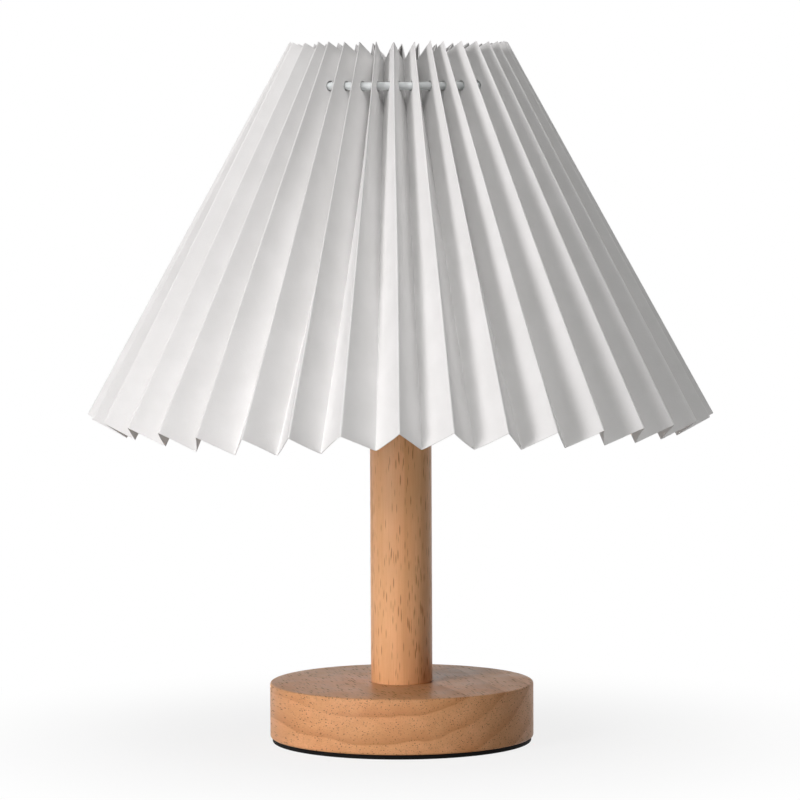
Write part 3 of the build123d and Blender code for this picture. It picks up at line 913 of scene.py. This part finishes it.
class Pleats:
    """The folds and panels of the shade, with the small unevenness of hand-set paper."""

    def __init__(self, seed=7):
        draw = random.Random(seed)
        feet, tips = spread_folds(front_feet, ()), spread_folds(front_tips, back_tips)
        even = (0.0,) * (pleats - len(inner_feet_stray))
        self.count = 2 * pleats
        self.ends = []
        for fold in range(pleats):
            after = (fold + 1) % pleats
            lap = 360 if after == 0 else 0
            ends = []
            for angles, strays, radius, level, wave in (
                (feet, inner_feet_stray, outer_foot_radius, outer_foot_level, 1.0),
                (tips, inner_tips_stray, outer_tip_radius, outer_tip_level, 0.0),
            ):
                angle, beside = angles[fold], angles[after] + lap
                half = math.radians(beside - angle) / 2
                inner_radius, inner_level = inner_fold_end(radius, level, half)
                middle = (angle + beside) / 2 + (strays + even)[fold]
                set_radius = radius - draw.uniform(0, 0.6) * mm
                set_level = level - (1 - wave) * draw.uniform(0, 0.8) * mm
                set_middle = middle + draw.uniform(-0.4, 0.4)
                ends.append((
                    round_point(set_radius, angle, set_level + wave * rim_wave(angle)),
                    round_point(inner_radius, set_middle, inner_level + wave * rim_wave(middle)),
                ))
            (outer_foot, inner_foot), (outer_tip, inner_tip) = ends
            self.ends += [(outer_foot, outer_tip), (inner_foot, inner_tip)]
        turn = 2 * math.pi
        self.sway = [(draw.uniform(-0.35, 0.35) * mm, draw.uniform(0, turn)) for _ in self.ends]
        self.bows = [
            (draw.uniform(-0.35, 0.35) * mm, draw.uniform(-0.3, 0.3) * mm, draw.uniform(0, turn))
            for _ in self.ends
        ]

    def fold(self, index, along):
        """A point on a fold line, from its foot (0) to its tip (1)."""
        foot, tip = self.ends[index % self.count]
        amount, phase = self.sway[index % self.count]
        point = foot.lerp(tip, along)
        sideways = Vector((-point.y, point.x, 0)).normalized()
        amount *= math.sin(math.pi * along) * math.sin(5 * along + phase)
        return point + sideways * amount

    def panel(self, index, across, along):
        """A point on the panel that follows a fold, from that fold (0) to the next (1)."""
        here, there = self.fold(index, along), self.fold(index + 1, along)
        step = 0.01
        rise = self.fold(index, min(1, along + step)) - self.fold(index, max(0, along - step))
        face = (there - here).cross(rise).normalized()
        still, moving, phase = self.bows[index % self.count]
        bow = still + moving * math.sin(4 * along + phase)
        bow *= 4 * across * (1 - across) * min(1, (1 - along) * 4 + 0.15)
        return here.lerp(there, across) + face * bow

    def crease(self, index, along, turn):
        """A point on the rounded crease at a fold, from the panel before (0) to its own (1)."""
        here = self.fold(index, along)
        before = (self.fold(index - 1, along) - here).normalized()
        after = (self.fold(index + 1, along) - here).normalized()
        return here + before * (crease_reach * (1 - turn) ** 2) + after * (crease_reach * turn**2)

    def hole_place(self, index, radius, level):
        """Where along and across a panel the hoop's circle passes through it."""
        across, along = 0.5, 0.9
        for _ in range(25):
            point = self.panel(index, across, along)
            along += (level - point.z) / (outer_tip_level - outer_foot_level)
            point = self.panel(index, across, along)
            near, far = (self.panel(index, edge, along).xy.length for edge in (0, 1))
            across += (point.xy.length - radius) / (near - far)
        return across, along


crease_steps = (0.0, 0.25, 0.5, 0.75, 1.0)


def row_places(hole_along):
    """Places along a fold for the mesh rows: below, beside and above the holes."""
    rows_below, rows_above = 32, 4
    pitch = hole_cell / fold_length
    beside = [hole_along + (step - hole_grid / 2) * pitch for step in range(hole_grid + 1)]
    below = [beside[0] * step / rows_below for step in range(rows_below)]
    above = [
        beside[-1] + (1 - beside[-1]) * step / rows_above for step in range(1, rows_above + 1)
    ]
    return below, beside, above


def hoop_circle():
    """Radius and level of the hoop's middle line. The set paper carries it a little high."""
    outer, low, high = node_ring("hoop")
    return outer - hoop_tube_radius, (low + high) / 2 + hoop_lift


def square_rim(count):
    """Places (column, row) round the rim of a square of cells, from its first corner."""
    steps = range(count)
    return (
        [(step, 0) for step in steps] + [(count, step) for step in steps]
        + [(count - step, count) for step in steps] + [(0, count - step) for step in steps]
    )


def make_paper_shade():
    """One pleated strip closed into a flared shade, with a hole through every panel."""
    folds = Pleats()
    hoop_radius, hoop_level = hoop_circle()
    vertices, faces, columns = [], [], []
    rim, inside, cells = square_rim(hole_grid), range(1, hole_grid), range(hole_grid)

    def add(point):
        vertices.append(point)
        return len(vertices) - 1

    for index in range(folds.count):
        hole_across, hole_along = folds.hole_place(index, hoop_radius, hoop_level)
        below, beside, above = row_places(hole_along)
        rows = below + beside + above
        first_row = len(below)
        columns += [
            [add(folds.crease(index, along, turn)) for along in rows] for turn in crease_steps
        ]
        beside_hole = [
            hole_across + (step - hole_grid / 2) * hole_cell / panel_width
            for step in range(hole_grid + 1)
        ]
        grid = [
            [
                None if column - 1 in inside and row - first_row in inside
                else add(folds.panel(index, across, along))
                for row, along in enumerate(rows)
            ]
            for column, across in enumerate((0.11, *beside_hole, 0.89))
        ]
        columns += grid
        length = (folds.ends[index][1] - folds.ends[index][0]).length
        circle = []
        for column, row in rim:
            toward = Vector((column - hole_grid / 2, row - hole_grid / 2)).normalized()
            toward *= hole_radius
            circle.append(add(folds.panel(index, hole_across + toward.x / panel_width,
                                          hole_along + toward.y / length)))
        faces += band([grid[1 + column][first_row + row] for column, row in rim], circle)

    columns_per_panel = len(columns) // folds.count
    for number, column in enumerate(columns):
        following = columns[(number + 1) % len(columns)]
        across = number % columns_per_panel - len(crease_steps) - 1
        for row in range(len(column) - 1):
            if across in cells and row - first_row in cells:
                continue
            faces.append((column[row], following[row], following[row + 1], column[row + 1]))
    shade = add_piece("paper_shade", (vertices, faces), "shade", "shade_paper",
                      ["pleated_shade"], sharp_degrees=180)
    card = shade.modifiers.new("card", "SOLIDIFY")
    card.thickness = paper_thickness
    card.offset = 0
    keep_result(shade)
    shade.data.shade_smooth()
    mark_cut_edges(shade.data)
    return folds


def mark_cut_edges(mesh):
    """Keeps the card's cut edges crisp and its creases soft."""
    limit = 1.5 * paper_thickness
    shape = bmesh.new()
    shape.from_mesh(mesh)
    for edge in shape.edges:
        lengths = [side.calc_length() for face in edge.link_faces for side in face.edges]
        if min(lengths) < limit and edge.calc_face_angle(0) > math.radians(60):
            edge.smooth = False
    shape.to_mesh(mesh)
    shape.free()


def make_seam_flap(folds):
    """The end of the strip, glued over its start on a panel near the left."""
    panel, start, reach = 3, 0.43, 0.5
    rows, columns = 40, 5
    lift = paper_thickness * 1.06
    vertices, faces = [], []
    for layer in (lift * 0.98, lift + paper_thickness * 0.9):
        for row in range(rows + 1):
            along = 0.004 + 0.86 * row / rows
            for column in range(columns + 1):
                across = start + reach * column / columns
                here = folds.panel(panel, across, along)
                side = folds.panel(panel, across + 0.02, along) - here
                rise = folds.panel(panel, across, along + 0.01) - here
                face = side.cross(rise).normalized()
                if face.xy.dot(here.xy) < 0:
                    face.negate()
                vertices.append(here + face * (layer - paper_thickness / 2))
    width = columns + 1
    strips = [range(first, first + width) for first in range(0, len(vertices), width)]
    under, over = strips[:rows + 1], strips[rows + 1:]
    for layer in (under, over):
        for strip, above in zip(layer, layer[1:]):
            faces += band(strip, above, closed=False)
    faces += band(*[
        [strip[0] for strip in layer[:-1]] + list(layer[-1][:-1])
        + [strip[-1] for strip in layer[:0:-1]] + list(layer[0][:0:-1])
        for layer in (under, over)
    ])
    add_piece("shade_seam_flap", (vertices, faces), "shade", "shade_paper")


def make_hoop():
    """The clear tube threaded through the holes, and the plug that joins its ends."""
    radius, level = hoop_circle()
    up = Vector((0, 0, 1))
    half_gap, half_plug = 0.25 * mm / radius, 7 * mm / radius
    middle = arc(radius, level, quarter + half_gap, 2 * (math.pi - half_gap), 220)
    tube = swept(middle, [hoop_tube_radius, hoop_bore_radius], up, sides=20)
    add_piece("hoop_tube", tube, "shade", "clear_tube", ["hoop"])
    plug = swept(arc(radius, level, quarter - half_plug, 2 * half_plug, 20),
                 [hoop_bore_radius - 0.05 * mm], up)
    add_piece("hoop_plug", plug, "shade", "joiner_plastic", ["hoop_joiner"])


# ---- Bulb ----


def make_bulb():
    """The bulb's body with its moulded waist, and its screw cap with a rolled thread."""
    cap_radius, cap_low, cap_high = node_ring("bulb_screw_cap")
    mouth, low, high = node_ring("bulb_body")
    neck = 14 * mm
    collar = low + 5.2 * mm
    corners = [(0, low, 0), (neck, low, 0.5 * mm), (neck, collar, 0)]
    flank = 14
    for step in range(1, flank):
        t = step / flank
        corners.append((neck + (mouth - neck) * (t**1.35), collar + (high - collar) * t, 0))
    corners += [(mouth, high, 0.15 * mm), (0, high, 0)]
    body = turned(round_corners(corners), 128)
    add_piece("bulb_body_moulded", body, "bulb", "bulb_plastic", ["bulb_body"])
    sheet, thread_top = 0.3 * mm, cap_high - 1.2 * mm
    wall = threaded_wall(cap_radius, 0.45 * mm, cap_low, thread_top, sheet)
    top = turned(round_corners([
        (0, cap_high - sheet, 0), (cap_radius - sheet, cap_high - sheet, 0),
        (cap_radius - sheet, thread_top, 0), (cap_radius, thread_top, 0),
        (cap_radius, cap_high, 0.25 * mm), (0, cap_high, 0),
    ]), 72)
    add_piece("bulb_cap_threaded", joined(wall, top), "bulb", "cap_metal", ["bulb_screw_cap"])


# ---- Floor, light and camera ----


def mix_shaders(tree, factor, first, second):
    """Two shaders mixed by another node's output."""
    return add_node(tree, "MixShader", {0: factor, 1: first, 2: second}).outputs[0]


def seen_directly(tree):
    """1 for rays from the camera and through or off shiny pieces, and 0 for the rest."""
    path = add_node(tree, "LightPath").outputs
    seen = calculate(tree, "MAXIMUM", path["Is Camera Ray"], path["Is Glossy Ray"])
    return calculate(tree, "MAXIMUM", seen, path["Is Transmission Ray"])


def make_world():
    """A white surround to look at, and a softer one that lights the lamp."""
    world = bpy.data.worlds.new("studio")
    bpy.context.scene.world = world
    world.use_nodes = True
    tree = world.node_tree
    tree.nodes.clear()
    white, soft = [
        add_node(tree, "Background", {"Color": colour, "Strength": strength}).outputs[0]
        for colour, strength in (((1, 1, 1, 1), 1.0), ((1, 1, 0.985, 1), 0.04))
    ]
    surround = mix_shaders(tree, seen_directly(tree), soft, white)
    add_node(tree, "OutputWorld", {"Surface": surround})


def make_floor():
    """A pale floor that keeps the lamp's soft shadow and fades into the white surround."""
    half, level = 6.0, -mm / 10
    corners = [(x * half, y * half, level) for x, y in ((-1, -1), (1, -1), (1, 1), (-1, 1))]
    floor = new_object("floor", (corners, [(0, 1, 2, 3)]))
    material = bpy.data.materials.new("floor_white")
    material.use_nodes = True
    tree = material.node_tree
    tree.nodes.clear()
    matt = add_node(tree, "BsdfDiffuse", {"Color": (0.68, 0.68, 0.675, 1)}).outputs[0]
    glow = add_node(tree, "Emission", {"Color": (1, 1, 1, 1), "Strength": 1.0}).outputs[0]
    vector = add_node(tree, "TexCoord").outputs["Object"]
    distance = add_node(tree, "VectorMath", {0: vector}, operation="LENGTH").outputs["Value"]
    near = remap(tree, distance, 0.06, 0.26, 0.84, 1.0)
    faded = mix_shaders(tree, near, matt, glow)
    surface = mix_shaders(tree, seen_directly(tree), matt, faded)
    add_node(tree, "OutputMaterial", {"Surface": surface})
    floor.data.materials.append(material)


def add_softbox(name, azimuth, elevation, distance, size, power, colour,
                aim_level=0.16, spread=180):
    """A softbox aimed at a level on the axis. Azimuth 0 is in front and + to the right."""
    light = bpy.data.lights.new(name, "AREA")
    light.shape = "RECTANGLE"
    light.size, light.size_y = size
    light.energy = power
    light.color = colour
    light.spread = math.radians(spread)
    softbox = bpy.data.objects.new(name, light)
    bpy.context.scene.collection.objects.link(softbox)
    aim = Vector((0, 0, aim_level))
    a, e = math.radians(azimuth), math.radians(elevation)
    direction = Vector((math.sin(a) * math.cos(e), -math.cos(a) * math.cos(e), math.sin(e)))
    softbox.location = aim + direction * distance
    softbox.rotation_euler = direction.to_track_quat("Z", "Y").to_euler()


def make_camera():
    """The camera at the photograph's distance, height and tilt."""
    data = bpy.data.cameras.new("camera")
    data.sensor_width = 36.0
    data.lens = 198.4
    data.clip_start = 0.05
    data.shift_x = -0.0006
    camera = bpy.data.objects.new("camera", data)
    bpy.context.scene.collection.objects.link(camera)
    camera.location = (0.0, -1.995, 0.303)
    pitch, roll = math.radians(-4.23), math.radians(-0.26)
    turn = Matrix.Rotation(quarter + pitch, 4, "X") @ Matrix.Rotation(roll, 4, "Z")
    camera.rotation_euler = turn.to_euler()
    bpy.context.scene.camera = camera


finish_nodes()
make_foot_pad()
make_wooden_base()
make_post()
make_gland()
make_holder_cap()
make_holder_sleeve()
make_screw_shell()
make_carrier()
shade_folds = make_paper_shade()
make_seam_flap(shade_folds)
make_hoop()
make_bulb()
make_world()
make_floor()
add_softbox("key", -40, 15, 1.7, (0.45, 0.95), 16.0, (1.0, 0.975, 0.98))
add_softbox("stand_grid", -54, 4, 1.3, (0.1, 0.1), 0.021, (1.0, 0.98, 0.97),
            aim_level=0.05, spread=14)
add_softbox("front_top", 0, 62, 1.7, (0.8, 0.8), 10.0, (1.0, 0.99, 0.985))
add_softbox("right_top", 90, 60, 1.7, (0.8, 0.8), 3.8, (1.0, 1.0, 0.985))
make_camera()

bpy.context.scene.view_settings.view_transform = "Standard"
